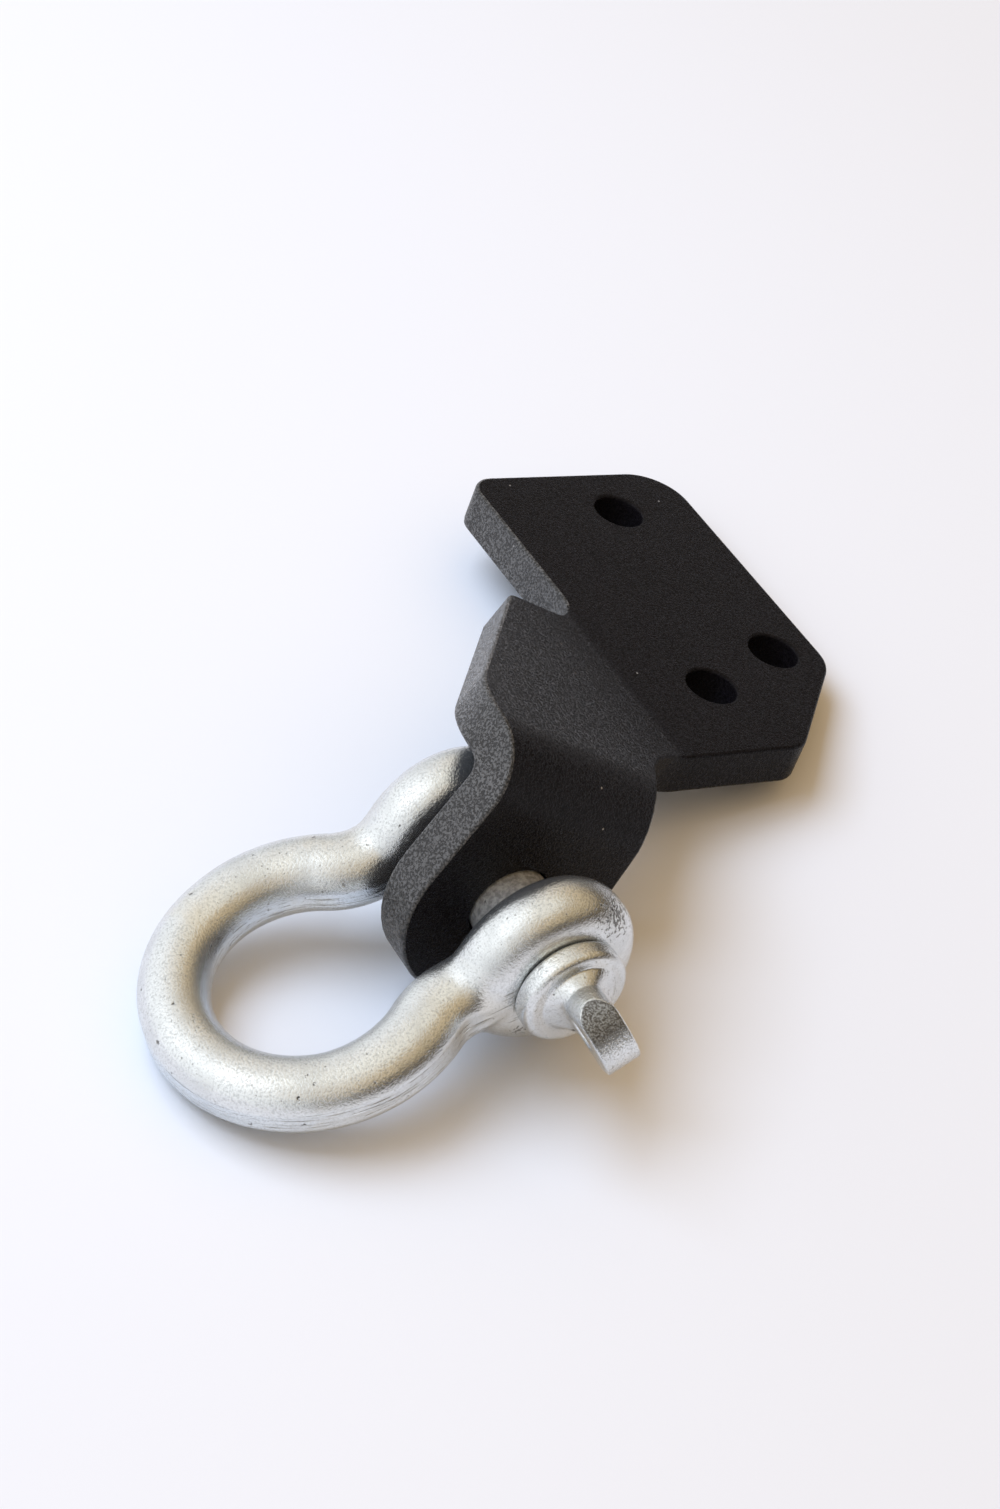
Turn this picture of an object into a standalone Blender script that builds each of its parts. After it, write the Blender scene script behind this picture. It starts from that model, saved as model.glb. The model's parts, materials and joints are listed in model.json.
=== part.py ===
# Tow hook: a folded steel bracket, a forged bow shackle and its screw pin.
# Metres, +Z up. The hook lies on its lug, its plate's edge and the shackle's crown.

from math import acos, asin, atan2, cos, degrees, hypot, pi, radians, sin, sqrt, tan

import bmesh
import bpy
from mathutils import Matrix, Vector

MM = 0.001

# Mounting plate. u runs along it, v across it, and n points out of its top face
PLATE_THICKNESS = 12.7 * MM
PLATE_LENGTH = 130.2 * MM
PLATE_WIDTH = 73.0 * MM
CHAMFER_START_U = 96.0 * MM
CHAMFER_END_V = 40.4 * MM
CORNER_NEAR_WING_R = 8.0 * MM
CORNER_BACK_R = 15.0 * MM
CORNER_SIDE_R = 13.0 * MM
CORNER_FRONT_R = 9.0 * MM
BOLT_HOLE_D = 15.2 * MM
BOLT_HOLES = ((19.1 * MM, 44.2 * MM), (88.5 * MM, 57.1 * MM), (101.7 * MM, 25.9 * MM))

# First bend: the wing rises from the plate's long edge
WING_BEND_V = -2.5 * MM
WING_BEND_DEG = 23.4
WING_BEND_INNER_R = 16.0 * MM
WING_START_U = 68.9 * MM
WING_START_W = 28.0 * MM
WING_TIP_U = 134.5 * MM
NOTCH_R = 11.0 * MM
WING_START_R = 6.0 * MM
WING_TIP_R = 32.0 * MM

# Second bend: the lug turns down from the wing's end
LUG_BEND_U = 145.9 * MM
LUG_BEND_DEG = 90.0
LUG_BEND_OUTER_R = 17.2 * MM
PIN_HOLE_S = 51.4 * MM
PIN_HOLE_W = 58.4 * MM
PIN_HOLE_D = 23.0 * MM
LUG_END_R = 30.9 * MM
LUG_SIDE_DEG = 8.0
LUG_ROOT_R = 36.0 * MM
EDGE_ROUND = 0.9 * MM

# Shackle bow, forged from round bar. Its own axes: x along the pin, y towards the crown
BAR_D = 19.0 * MM
JAW_WIDTH = 31.8 * MM
EAR_THICKNESS = 19.3 * MM
EAR_R = 23.5 * MM
EAR_FACE_R = 13.0 * MM
EAR_ROUNDING = 2.3
EAR_NECK_BLEND = 14.0 * MM
NECK_FADE = 7.0 * MM
NECK_EASE = 3.2 * MM
SHOULDER_SWELL = 1.2 * MM
CROWN_SWELL_SHARE = 0.4
CROWN_CENTRE_Y = 54.4 * MM
CROWN_R = 34.5 * MM
SHOULDER_R = 20.0 * MM
SWING_DEG = 27.0

# Screw pin
PIN_D = 22.2 * MM
BORE_CLEARANCE = 0.1 * MM
PIN_END_CHAMFER = 1.6 * MM
COLLAR_D = 29.4 * MM
COLLAR_THICKNESS = 6.2 * MM
COLLAR_ROUND = 2.2 * MM
COLLAR_GAP = 0.3 * MM

# The pin's paddle: forged with a round rim, which is trimmed to TAB_R and left flat
TAB_ROOT_R = 10.3 * MM
TAB_ROOT_LENGTH = 5.5 * MM
TAB_ROOT_SINK = 1.5 * MM
TAB_WAIST_R = 9.6 * MM
TAB_WAIST_X = 4.0 * MM
TAB_BLANK_R = 14.8 * MM
TAB_BLANK_REACH = 17.0 * MM
TAB_R = 11.8 * MM
TAB_REACH = 21.3 * MM
TAB_THICKNESS = 10.0 * MM
TAB_OFFSET = 0.7 * MM
TAB_EYE_D = 8.0 * MM
TAB_TURN_DEG = 128.0

# How finely the curves are divided
ARC_STEP_DEG = 7.5
BAR_SIDES = 28
ROUND_SIDES = 48
BOLT_HOLE_SIDES = 36
BEND_STEPS = 12
WING_BEND_STEPS = 5
EAR_STEPS = 9
LEG_STEPS = 10
SHOULDER_STEPS = 6
CROWN_STEPS = 18
TAB_ROOT_STEPS = 6
TAB_WAIST_STEPS = 6
TAB_TIP_STEPS = 9
TAB_ACROSS = 12
EYE_SIDES = 24


def clear_scene():
    for obj in list(bpy.data.objects):
        bpy.data.objects.remove(obj, do_unlink=True)


def add_material(obj, name, colour, roughness, metallic):
    mat = bpy.data.materials.new(name)
    mat.use_nodes = True
    shader = mat.node_tree.nodes["Principled BSDF"]
    shader.inputs["Base Color"].default_value = (*colour, 1.0)
    shader.inputs["Roughness"].default_value = roughness
    shader.inputs["Metallic"].default_value = metallic
    obj.data.materials.append(mat)


def link_mesh(bm, name, parent, sharp_deg=35.0):
    bmesh.ops.recalc_face_normals(bm, faces=bm.faces)
    mesh = bpy.data.meshes.new(name)
    bm.to_mesh(mesh)
    bm.free()
    mesh.shade_smooth()
    mesh.set_sharp_from_angle(angle=radians(sharp_deg))
    obj = bpy.data.objects.new(name, mesh)
    bpy.context.collection.objects.link(obj)
    obj.parent = parent
    return obj


def add_empty(name, parent=None):
    empty = bpy.data.objects.new(name, None)
    empty.empty_display_size = 0.02
    bpy.context.collection.objects.link(empty)
    empty.parent = parent
    return empty


def cut_with(obj, cutter):
    cutter.hide_render = True
    cutter.display_type = "WIRE"
    boolean = obj.modifiers.new("cut " + cutter.name, "BOOLEAN")
    boolean.object = cutter
    boolean.operation = "DIFFERENCE"
    boolean.solver = "EXACT"


def rounded_outline(corners):
    """Turns corner points with radii, (x, y, radius), into an outline with arcs."""
    outline = []
    count = len(corners)
    for i, (x, y, radius) in enumerate(corners):
        corner = Vector((x, y))
        before = (Vector(corners[i - 1][:2]) - corner).normalized()
        after = (Vector(corners[(i + 1) % count][:2]) - corner).normalized()
        half = acos(max(-1.0, min(1.0, before.dot(after)))) / 2
        start = corner + before * (radius / tan(half))
        centre = corner + (before + after).normalized() * (radius / sin(half))
        sweep = pi - 2 * half
        turn = 1.0 if before.x * after.y - before.y * after.x < 0 else -1.0
        steps = max(2, round(degrees(sweep) / ARC_STEP_DEG))
        spoke = start - centre
        for k in range(steps + 1):
            angle = turn * sweep * k / steps
            outline.append(centre + Matrix.Rotation(angle, 2) @ spoke)
    kept = []
    for point in outline:
        if not kept or (point - kept[-1]).length > 0.05 * MM:
            kept.append(point)
    if (kept[0] - kept[-1]).length < 0.05 * MM:
        kept.pop()
    return kept


def wing_v(w):
    """The flat blank's v for a distance w up the wing from its bend."""
    return WING_BEND_V - w


def blank_corners():
    """The flat blank's corners. Past the second bend, u is measured along the lug."""
    side = radians(LUG_SIDE_DEG)
    hole_u = LUG_BEND_U + PIN_HOLE_S
    end_u = hole_u + LUG_END_R
    outer_w = PIN_HOLE_W + LUG_END_R
    tangent_u = hole_u - LUG_END_R * sin(side)
    tangent_w = PIN_HOLE_W - LUG_END_R * cos(side)
    root_w = tangent_w + (tangent_u - PLATE_LENGTH) * tan(side)
    end_w = tangent_w - (end_u - tangent_u) * tan(side)
    return (
        (0.0, 0.0, CORNER_NEAR_WING_R),
        (WING_START_U, 0.0, NOTCH_R),
        (WING_START_U, wing_v(WING_START_W), WING_START_R),
        (WING_TIP_U, wing_v(outer_w), WING_TIP_R),
        (end_u, wing_v(outer_w), LUG_END_R),
        (end_u, wing_v(end_w), LUG_END_R),
        (PLATE_LENGTH, wing_v(root_w), LUG_ROOT_R),
        (PLATE_LENGTH, CHAMFER_END_V, CORNER_FRONT_R),
        (CHAMFER_START_U, PLATE_WIDTH, CORNER_SIDE_R),
        (0.0, PLATE_WIDTH, CORNER_BACK_R),
    )


def circle_outline(u, v, radius, sides):
    return [
        Vector((u + radius * cos(2 * pi * k / sides), v + radius * sin(2 * pi * k / sides)))
        for k in range(sides)
    ]


def fold_lug(u, z):
    """The second bend, downwards: u and height z of the blank to those of the folded steel."""
    angle = radians(LUG_BEND_DEG)
    if u <= LUG_BEND_U:
        return u, z
    turned = min((u - LUG_BEND_U) / LUG_BEND_OUTER_R, angle)
    straight = u - LUG_BEND_U - turned * LUG_BEND_OUTER_R
    reach = LUG_BEND_OUTER_R + z
    folded_u = LUG_BEND_U + reach * sin(turned) + straight * cos(turned)
    folded_z = reach * cos(turned) - LUG_BEND_OUTER_R - straight * sin(turned)
    return folded_u, folded_z


def wing_bend_start():
    return WING_BEND_V + WING_BEND_INNER_R * tan(radians(WING_BEND_DEG) / 2)


def fold_wing(v, z):
    """The first bend, upwards: v and height z of the blank to those of the folded steel."""
    start = wing_bend_start()
    if v >= start:
        return v, z
    turned = min((start - v) / WING_BEND_INNER_R, radians(WING_BEND_DEG))
    straight = start - v - turned * WING_BEND_INNER_R
    reach = WING_BEND_INNER_R - z
    folded_v = start - reach * sin(turned) - straight * cos(turned)
    folded_z = WING_BEND_INNER_R - reach * cos(turned) + straight * sin(turned)
    return folded_v, folded_z


def fold(point):
    u, z = fold_lug(point.x, point.z)
    v, n = fold_wing(point.y, z)
    return Vector((u, v, n))


def add_loop(bm, points):
    verts = [bm.verts.new((p.x, p.y, 0.0)) for p in points]
    return [bm.edges.new((a, b)) for a, b in zip(verts, verts[1:] + verts[:1])]


def slice_across(bm, axis, position):
    point = Vector()
    point[axis] = position
    normal = Vector()
    normal[axis] = 1.0
    parts = bm.verts[:] + bm.edges[:] + bm.faces[:]
    bmesh.ops.bisect_plane(bm, geom=parts, dist=1e-7, plane_co=point, plane_no=normal)


def build_bracket(parent):
    """One blank, cut with its holes, its edges rounded, then folded at its two bends."""
    bm = bmesh.new()
    edges = add_loop(bm, rounded_outline(blank_corners()))
    for u, v in BOLT_HOLES:
        edges += add_loop(bm, circle_outline(u, v, BOLT_HOLE_D / 2, BOLT_HOLE_SIDES))
    hole_u, hole_v = LUG_BEND_U + PIN_HOLE_S, wing_v(PIN_HOLE_W)
    edges += add_loop(bm, circle_outline(hole_u, hole_v, PIN_HOLE_D / 2, ROUND_SIDES))
    bmesh.ops.triangle_fill(bm, use_beauty=True, edges=edges, normal=(0, 0, 1))
    top = bm.faces[:]
    made = bmesh.ops.extrude_face_region(bm, geom=top, use_keep_orig=True)
    lower = [v for v in made["geom"] if isinstance(v, bmesh.types.BMVert)]
    bmesh.ops.translate(bm, verts=lower, vec=(0, 0, -PLATE_THICKNESS))
    bmesh.ops.recalc_face_normals(bm, faces=bm.faces)
    rim = [e for e in bm.edges if abs(e.calc_face_angle(0.0) - pi / 2) < 0.1]
    rim = [e for e in rim if abs(e.verts[0].co.z - e.verts[1].co.z) < 1e-6]
    bmesh.ops.bevel(
        bm, geom=rim, offset=EDGE_ROUND, segments=2, profile=0.5, affect="EDGES"
    )
    lug_arc = LUG_BEND_OUTER_R * radians(LUG_BEND_DEG)
    for k in range(BEND_STEPS + 1):
        slice_across(bm, 0, LUG_BEND_U + lug_arc * k / BEND_STEPS)
    wing_arc = WING_BEND_INNER_R * radians(WING_BEND_DEG)
    for k in range(WING_BEND_STEPS + 1):
        slice_across(bm, 1, wing_bend_start() - wing_arc * k / WING_BEND_STEPS)
    for vert in bm.verts:
        vert.co = fold(vert.co)
    obj = link_mesh(bm, "bracket", parent)
    add_material(obj, "black_powder_coat", (0.02, 0.019, 0.018), 0.55, 0.0)
    return obj


def pin_axis_point():
    """The pin hole's centre, halfway through the lug."""
    blank = Vector((LUG_BEND_U + PIN_HOLE_S, wing_v(PIN_HOLE_W), -PLATE_THICKNESS / 2))
    return fold(blank)


def ear_half_thickness(rho):
    """Half the ear's thickness at a distance rho from the pin's axis."""
    if rho <= EAR_FACE_R:
        return EAR_THICKNESS / 2
    share = (rho - EAR_FACE_R) / (EAR_R - EAR_FACE_R)
    return EAR_THICKNESS / 2 * max(0.0, 1.0 - share**EAR_ROUNDING) ** (1 / EAR_ROUNDING)


def ear_radius(y, angle):
    """How far the ear reaches from the bar's middle, in the section at y, along an angle."""
    if abs(y) >= EAR_R:
        return 0.0
    low, high = 0.0, 1.2 * EAR_R
    for _ in range(30):
        r = (low + high) / 2
        inside = r * abs(cos(angle)) < ear_half_thickness(hypot(y, r * sin(angle)))
        low, high = (r, high) if inside else (low, r)
    return low


def soft_max(a, b, blend):
    overlap = max(blend - abs(a - b), 0.0) / blend if blend > 1e-9 else 0.0
    return max(a, b) + overlap * overlap * blend / 4


def sharp_radius(s, angle, swell):
    """The forging's radius around its middle line at a length s from the pin's axis."""
    bar = BAR_D / 2 + SHOULDER_SWELL * swell * (1.0 - sin(angle)) / 2
    ear = ear_radius(s, angle)
    if s <= 0.0:
        return ear
    rising = min(1.0, s / (0.5 * EAR_R))
    fading = min(1.0, max(0.0, 1.0 - (s - EAR_R) / NECK_FADE))
    return soft_max(bar, ear, EAR_NECK_BLEND * sin(angle) ** 2 * rising * fading)


def section_radius(s, angle, swell):
    """The same radius, eased along the neck. The shoulders are fuller on one face, at minus z."""
    ease = min(NECK_EASE, max(0.0, (s - EAR_FACE_R) / 2))
    if ease == 0.0:
        return sharp_radius(s, angle, swell)
    total = 0.0
    for k, weight in ((-2, 1), (-1, 2), (0, 3), (1, 2), (2, 1)):
        total += weight * sharp_radius(s + ease * k / 2, angle, swell)
    return total / 9


def bow_stations():
    """From one ear's end to the crown: (x, y, dx, dy, s, swell) along the middle line."""
    ear_x = JAW_WIDTH / 2 + EAR_THICKNESS / 2
    spread = CROWN_R + SHOULDER_R
    beta = pi - asin(min(1.0, (ear_x + SHOULDER_R) / spread))
    shoulder = Vector((spread * sin(beta), CROWN_CENTRE_Y + spread * cos(beta)))
    stations = []
    for k in range(1, EAR_STEPS):
        y = -EAR_R * cos(pi / 2 * k / EAR_STEPS)
        stations.append((ear_x, y, 0.0, 1.0, y, 0.0))
    for k in range(LEG_STEPS):
        y = shoulder.y * k / LEG_STEPS
        swell = max(0.0, (y - EAR_FACE_R) / (shoulder.y - EAR_FACE_R))
        stations.append((ear_x, y, 0.0, 1.0, y, swell))
    for k in range(SHOULDER_STEPS):
        angle = (beta - pi / 2) * k / SHOULDER_STEPS
        x = shoulder.x - SHOULDER_R * cos(angle)
        y = shoulder.y + SHOULDER_R * sin(angle)
        s = shoulder.y + SHOULDER_R * angle
        stations.append((x, y, sin(angle), cos(angle), s, 1.0))
    past_shoulder = shoulder.y + SHOULDER_R * (beta - pi / 2)
    for k in range(CROWN_STEPS + 1):
        share = k / CROWN_STEPS
        angle = beta * (1 - share)
        x = CROWN_R * sin(angle)
        y = CROWN_CENTRE_Y + CROWN_R * cos(angle)
        s = past_shoulder + CROWN_R * beta * share
        swell = max(0.0, 1.0 - share / CROWN_SWELL_SHARE)
        stations.append((x, y, -cos(angle), sin(angle), s, swell))
    return stations


def add_ring(bm, station, mirror):
    x, y, dx, dy, s, swell = station
    ring = []
    for k in range(BAR_SIDES):
        angle = 2 * pi * k / BAR_SIDES
        r = section_radius(s, angle, swell)
        across = r * cos(angle)
        ring.append(
            bm.verts.new((mirror * (x + across * dy), y - across * dx, r * sin(angle)))
        )
    return ring


def add_cylinder(name, radius, x_from, x_to, parent, sides=ROUND_SIDES):
    bm = bmesh.new()
    bmesh.ops.create_cone(
        bm,
        cap_ends=True,
        segments=sides,
        radius1=radius,
        radius2=radius,
        depth=x_to - x_from,
        matrix=Matrix.Translation(((x_from + x_to) / 2, 0, 0)) @ Matrix.Rotation(pi / 2, 4, "Y"),
    )
    return link_mesh(bm, name, parent)


def build_bow(parent):
    """The bow is lofted along its middle line: ear, neck, leg, shoulder, crown and back."""
    half = bow_stations()
    bm = bmesh.new()
    rings = [add_ring(bm, station, 1) for station in half]
    rings += [add_ring(bm, station, -1) for station in reversed(half[:-1])]
    for first, second in zip(rings, rings[1:]):
        bmesh.ops.bridge_loops(bm, edges=loop_edges(bm, first) + loop_edges(bm, second))
    bm.faces.new(rings[0])
    bm.faces.new(rings[-1])
    bow = link_mesh(bm, "shackle_bow", parent, 50.0)
    add_material(bow, "galvanised_steel", (0.62, 0.62, 0.6), 0.38, 1.0)
    reach = JAW_WIDTH / 2 + EAR_THICKNESS + 5 * MM
    bore = add_cylinder("pin_bore_cutter", PIN_D / 2 + BORE_CLEARANCE, -reach, reach, parent)
    cut_with(bow, bore)
    return bow


def loop_edges(bm, ring):
    edges = []
    for a, b in zip(ring, ring[1:] + ring[:1]):
        edge = bm.edges.get((a, b))
        edges.append(edge if edge else bm.edges.new((a, b)))
    return edges


def pin_profile():
    """The pin's turned outline, (x along the pin, radius), from its end to the collar's face."""
    ear_face = JAW_WIDTH / 2 + EAR_THICKNESS
    shank = PIN_D / 2
    collar = COLLAR_D / 2
    collar_x = ear_face + COLLAR_GAP
    face_x = collar_x + COLLAR_THICKNESS
    points = [(-ear_face, 0.0), (-ear_face, shank - PIN_END_CHAMFER)]
    points += [(-ear_face + PIN_END_CHAMFER, shank), (collar_x, shank)]
    under = collar - COLLAR_ROUND / 2
    points.append((collar_x, under))
    for k in range(1, 5):
        angle = pi / 2 * k / 4
        points.append(
            (collar_x + COLLAR_ROUND / 2 * (1 - cos(angle)), under + COLLAR_ROUND / 2 * sin(angle))
        )
    for k in range(5):
        angle = pi / 2 * k / 4
        points.append(
            (
                face_x - COLLAR_ROUND * (1 - sin(angle)),
                collar - COLLAR_ROUND * (1 - cos(angle)),
            )
        )
    points.append((face_x, 0.0))
    return points


def turned(name, profile, parent):
    bm = bmesh.new()
    verts = [bm.verts.new((x, r, 0.0)) for x, r in profile]
    edges = [bm.edges.new(pair) for pair in zip(verts, verts[1:])]
    bmesh.ops.spin(
        bm,
        geom=verts + edges,
        cent=(0, 0, 0),
        axis=(1, 0, 0),
        angle=2 * pi,
        steps=ROUND_SIDES,
        use_merge=True,
    )
    bmesh.ops.remove_doubles(bm, verts=bm.verts, dist=1e-6)
    return link_mesh(bm, name, parent)


def tab_half_thickness(x):
    """Half the paddle's thickness at x from the collar: a concave flare, then flat."""
    flat = TAB_THICKNESS / 2
    if x >= TAB_ROOT_LENGTH:
        return flat
    turned_by = pi / 2 * max(0.0, x) / TAB_ROOT_LENGTH
    return flat + (TAB_ROOT_R - flat) * (1 - sin(turned_by))


def blank_half_width(x):
    """Half the untrimmed forging's width: from its round root through a waist outwards."""
    if x < TAB_WAIST_X:
        return TAB_ROOT_R + (TAB_WAIST_R - TAB_ROOT_R) * sin(pi / 2 * max(0.0, x) / TAB_WAIST_X)
    grown = (x - TAB_WAIST_X) / (TAB_BLANK_REACH - TAB_WAIST_X)
    return TAB_WAIST_R + (TAB_BLANK_R - TAB_WAIST_R) * grown


def tab_half_width(x, t):
    """Half the trimmed paddle's width at x from the collar and t from its middle plane."""
    rim = tab_half_thickness(x)
    rounded = sqrt(max(0.0, rim * rim - t * t)) - rim
    past = max(0.0, x - (TAB_REACH - TAB_R))
    blank = blank_half_width(x) + rounded
    disc = sqrt(max(0.0, (TAB_BLANK_R + rounded) ** 2 - past * past))
    trimmed = sqrt(max(0.0, TAB_R * TAB_R - past * past))
    return min(blank, disc, trimmed)


def tab_ring(x):
    """The paddle's section at x, as (across the thickness, across the width)."""
    thickest = tab_half_thickness(x)
    past = x - (TAB_REACH - TAB_R) - (TAB_BLANK_R - thickest)
    if past > 0.0:
        thickest = sqrt(thickest * thickest - past * past)
    upper = []
    for k in range(TAB_ACROSS + 1):
        t = 0.995 * thickest * cos(pi * k / TAB_ACROSS)
        upper.append((t, tab_half_width(x, t)))
    return upper + [(t, -w) for t, w in reversed(upper)]


def tab_stations():
    """From inside the collar, along the root and the waist, to the round tip."""
    centre = TAB_REACH - TAB_R
    xs = [-TAB_ROOT_SINK]
    xs += [TAB_ROOT_LENGTH * k / TAB_ROOT_STEPS for k in range(TAB_ROOT_STEPS)]
    waist = centre - TAB_ROOT_LENGTH
    xs += [TAB_ROOT_LENGTH + waist * k / TAB_WAIST_STEPS for k in range(TAB_WAIST_STEPS)]
    xs += [
        centre + TAB_R * sin(radians(86.0) * k / TAB_TIP_STEPS) for k in range(TAB_TIP_STEPS + 1)
    ]
    return xs


def build_pin(parent):
    """Shank and collar are turned. The flared paddle is lofted, joined on and bored."""
    pin = turned("shackle_pin", pin_profile(), parent)
    add_material(pin, "galvanised_pin", (0.66, 0.66, 0.64), 0.36, 1.0)
    face_x = JAW_WIDTH / 2 + EAR_THICKNESS + COLLAR_GAP + COLLAR_THICKNESS
    bm = bmesh.new()
    rings = []
    for x in tab_stations():
        section = tab_ring(x)
        rings.append([bm.verts.new((face_x + x, w, t - TAB_OFFSET)) for t, w in section])
    for first, second in zip(rings, rings[1:]):
        bmesh.ops.bridge_loops(bm, edges=loop_edges(bm, first) + loop_edges(bm, second))
    bm.faces.new(rings[0])
    bm.faces.new(rings[-1])
    tab = link_mesh(bm, "tab_shape", parent)
    tab.rotation_euler = (radians(TAB_TURN_DEG), 0, 0)
    tab.hide_render = True
    tab.display_type = "WIRE"
    eye = add_cylinder("eye_cutter", TAB_EYE_D / 2, -TAB_R, TAB_R, tab, EYE_SIDES)
    eye.location = (face_x + TAB_REACH - TAB_R, 0, 0)
    eye.rotation_euler = (0, pi / 2, 0)
    cut_with(tab, eye)
    join = pin.modifiers.new("tab", "BOOLEAN")
    join.object = tab
    join.operation = "UNION"
    join.solver = "EXACT"
    return pin


def resting_tilt():
    """The plate's tilt about u when its far lower edge and the lug's round end touch the floor."""
    hole = pin_axis_point()
    across = PLATE_WIDTH - hole.y
    drop = -PLATE_THICKNESS - hole.z
    return asin(LUG_END_R / hypot(across, drop)) + atan2(drop, across)


def world_bounds(objects):
    graph = bpy.context.evaluated_depsgraph_get()
    points = []
    for obj in objects:
        seen = obj.evaluated_get(graph)
        points += [seen.matrix_world @ v.co for v in seen.data.vertices]
    low = Vector([min(p[i] for p in points) for i in range(3)])
    high = Vector([max(p[i] for p in points) for i in range(3)])
    return low, high


def build():
    clear_scene()
    rest = add_empty("rest_on_floor")
    rest.rotation_euler = (-resting_tilt(), 0, 0)
    bracket = build_bracket(rest)
    swing = add_empty("pin_axis", rest)
    swing.location = pin_axis_point()
    swing.rotation_euler = (pi + radians(SWING_DEG), 0, 0)
    bow = build_bow(swing)
    pin_frame = add_empty("pin_turn", rest)
    pin_frame.location = pin_axis_point()
    pin = build_pin(pin_frame)
    bpy.context.view_layer.update()
    low, high = world_bounds((bracket, bow, pin))
    middle = (low + high) / 2
    rest.location = (-middle.x, -middle.y, -low.z)
    bpy.context.view_layer.update()


build()
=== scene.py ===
# Tow hook: finishes, finer meshes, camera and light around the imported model
import json
from math import asin, cos, exp, hypot, pi, radians, sin, sqrt

import bmesh
import bpy
from mathutils import Euler, Matrix, Vector, noise
from mathutils.bvhtree import BVHTree


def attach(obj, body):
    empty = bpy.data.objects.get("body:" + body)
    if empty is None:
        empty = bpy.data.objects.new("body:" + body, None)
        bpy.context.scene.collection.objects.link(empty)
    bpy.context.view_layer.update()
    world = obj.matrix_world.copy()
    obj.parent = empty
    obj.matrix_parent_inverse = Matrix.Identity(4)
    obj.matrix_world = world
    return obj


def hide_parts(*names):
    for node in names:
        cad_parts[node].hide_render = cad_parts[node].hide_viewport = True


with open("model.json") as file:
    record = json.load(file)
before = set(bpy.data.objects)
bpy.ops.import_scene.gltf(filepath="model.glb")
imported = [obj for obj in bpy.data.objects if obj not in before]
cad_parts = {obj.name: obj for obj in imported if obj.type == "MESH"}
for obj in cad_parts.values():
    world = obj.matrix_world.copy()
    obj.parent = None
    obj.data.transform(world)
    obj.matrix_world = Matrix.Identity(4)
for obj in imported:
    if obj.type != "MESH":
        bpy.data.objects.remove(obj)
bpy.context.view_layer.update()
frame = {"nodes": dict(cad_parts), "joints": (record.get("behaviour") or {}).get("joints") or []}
swingJoint = next(joint for joint in frame["joints"] if joint["name"] == "shackle_swing")
pinAxis = Vector(swingJoint["pos_m"])
restTilt = 13.12  # degrees that the loose part leans where it lies on the table
# Flat on the table: the photograph's left, where the window is, and the way it looks
cameraLeft = Vector((-0.475, -0.880, 0.0)).normalized()
cameraAway = Vector((-0.825, 0.565, 0.0)).normalized()
print("frame loaded:", sorted(frame["nodes"]))


# Small node helpers. An input is given as a value or as the socket that feeds it

def addNode(tree, kind, place, inputs=None, **settings):
    node = tree.nodes.new(kind)
    node.location = place
    for name, value in settings.items():
        setattr(node, name, value)
    for key, value in (inputs or {}).items():
        if isinstance(value, bpy.types.NodeSocket):
            tree.links.new(value, node.inputs[key])
        else:
            node.inputs[key].default_value = value
    return node


def addNoise(tree, place, source, scale, detail=3.0, rough=0.55, distortion=0.0):
    inputs = {"Vector": source, "Scale": scale, "Detail": detail, "Roughness": rough}
    inputs["Distortion"] = distortion
    return addNode(tree, "ShaderNodeTexNoise", place, inputs).outputs["Fac"]


def addRange(tree, place, source, ends, low=0.0, high=1.0):
    inputs = {"Value": source, "From Min": ends[0], "From Max": ends[1], "To Min": low, "To Max": high}
    node = addNode(tree, "ShaderNodeMapRange", place, inputs, interpolation_type="SMOOTHSTEP")
    return node.outputs["Result"]


def addMix(tree, place, factor, first, second):
    node = addNode(tree, "ShaderNodeMix", place, {"Factor": factor}, data_type="RGBA")
    colours = [socket for socket in node.inputs if socket.type == "RGBA"]
    for socket, value in zip(colours, (first, second)):
        if isinstance(value, tuple):
            socket.default_value = (*value, 1.0)
        else:
            tree.links.new(value, socket)
    return next(socket for socket in node.outputs if socket.type == "RGBA")


def addMath(tree, place, operation, *values):
    inputs = dict(enumerate(values))
    return addNode(tree, "ShaderNodeMath", place, inputs, operation=operation).outputs[0]


def addBump(tree, place, height, depth, under=None):
    inputs = {"Height": height, "Distance": depth, "Strength": 1.0}
    if under:
        inputs["Normal"] = under
    return addNode(tree, "ShaderNodeBump", place, inputs).outputs["Normal"]


def newMaterial(name):
    material = bpy.data.materials.new(name)
    material.use_nodes = True
    tree = material.node_tree
    shader = tree.nodes["Principled BSDF"]
    shader.location = (900, 0)
    tree.nodes["Material Output"].location = (1200, 0)
    return material, tree, shader


def feedShader(tree, shader, colour, rough, normal):
    tree.links.new(colour, shader.inputs["Base Color"])
    tree.links.new(rough, shader.inputs["Roughness"])
    tree.links.new(normal, shader.inputs["Normal"])


# Black powder coat: a fine leathery skin on the folded plate.
# In each dictionary, a pair called ends is where an effect begins to change and where it stops

coat = {
    "face": ((0.0024, 0.0019, 0.0026), (0.0084, 0.0070, 0.0092)),  # in the grooves, on the crests
    # Painted light: the cut edges' coat is far lighter than the faces', for the window's light on them
    "paintedLitEdge": ((0.0130, 0.0127, 0.0130), (0.1180, 0.1160, 0.1150)),
    "roughness": (0.46, 0.26),  # in the grooves, on the crests
    "specular": {"face": 0.11, "paintedLitEdge": 0.50},
    "grainScale": {"face": 1650.0, "paintedLitEdge": 1450.0},
    "grainDepth": {"face": 0.00012, "paintedLitEdge": 0.00015},
    "crestEnds": (0.42, 0.58),
    "peelScale": 330.0,
    "peelDepth": 0.00006,
    "cloudScale": 45.0,
    "cloudEnds": (0.35, 0.70),
    "cloudDarkest": 0.70,
    "dust": (0.32, 0.31, 0.30),
    "dustScale": 190.0,
    "dustEnds": (0.045, 0.075),
    "dustShare": 0.05,
}


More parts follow.
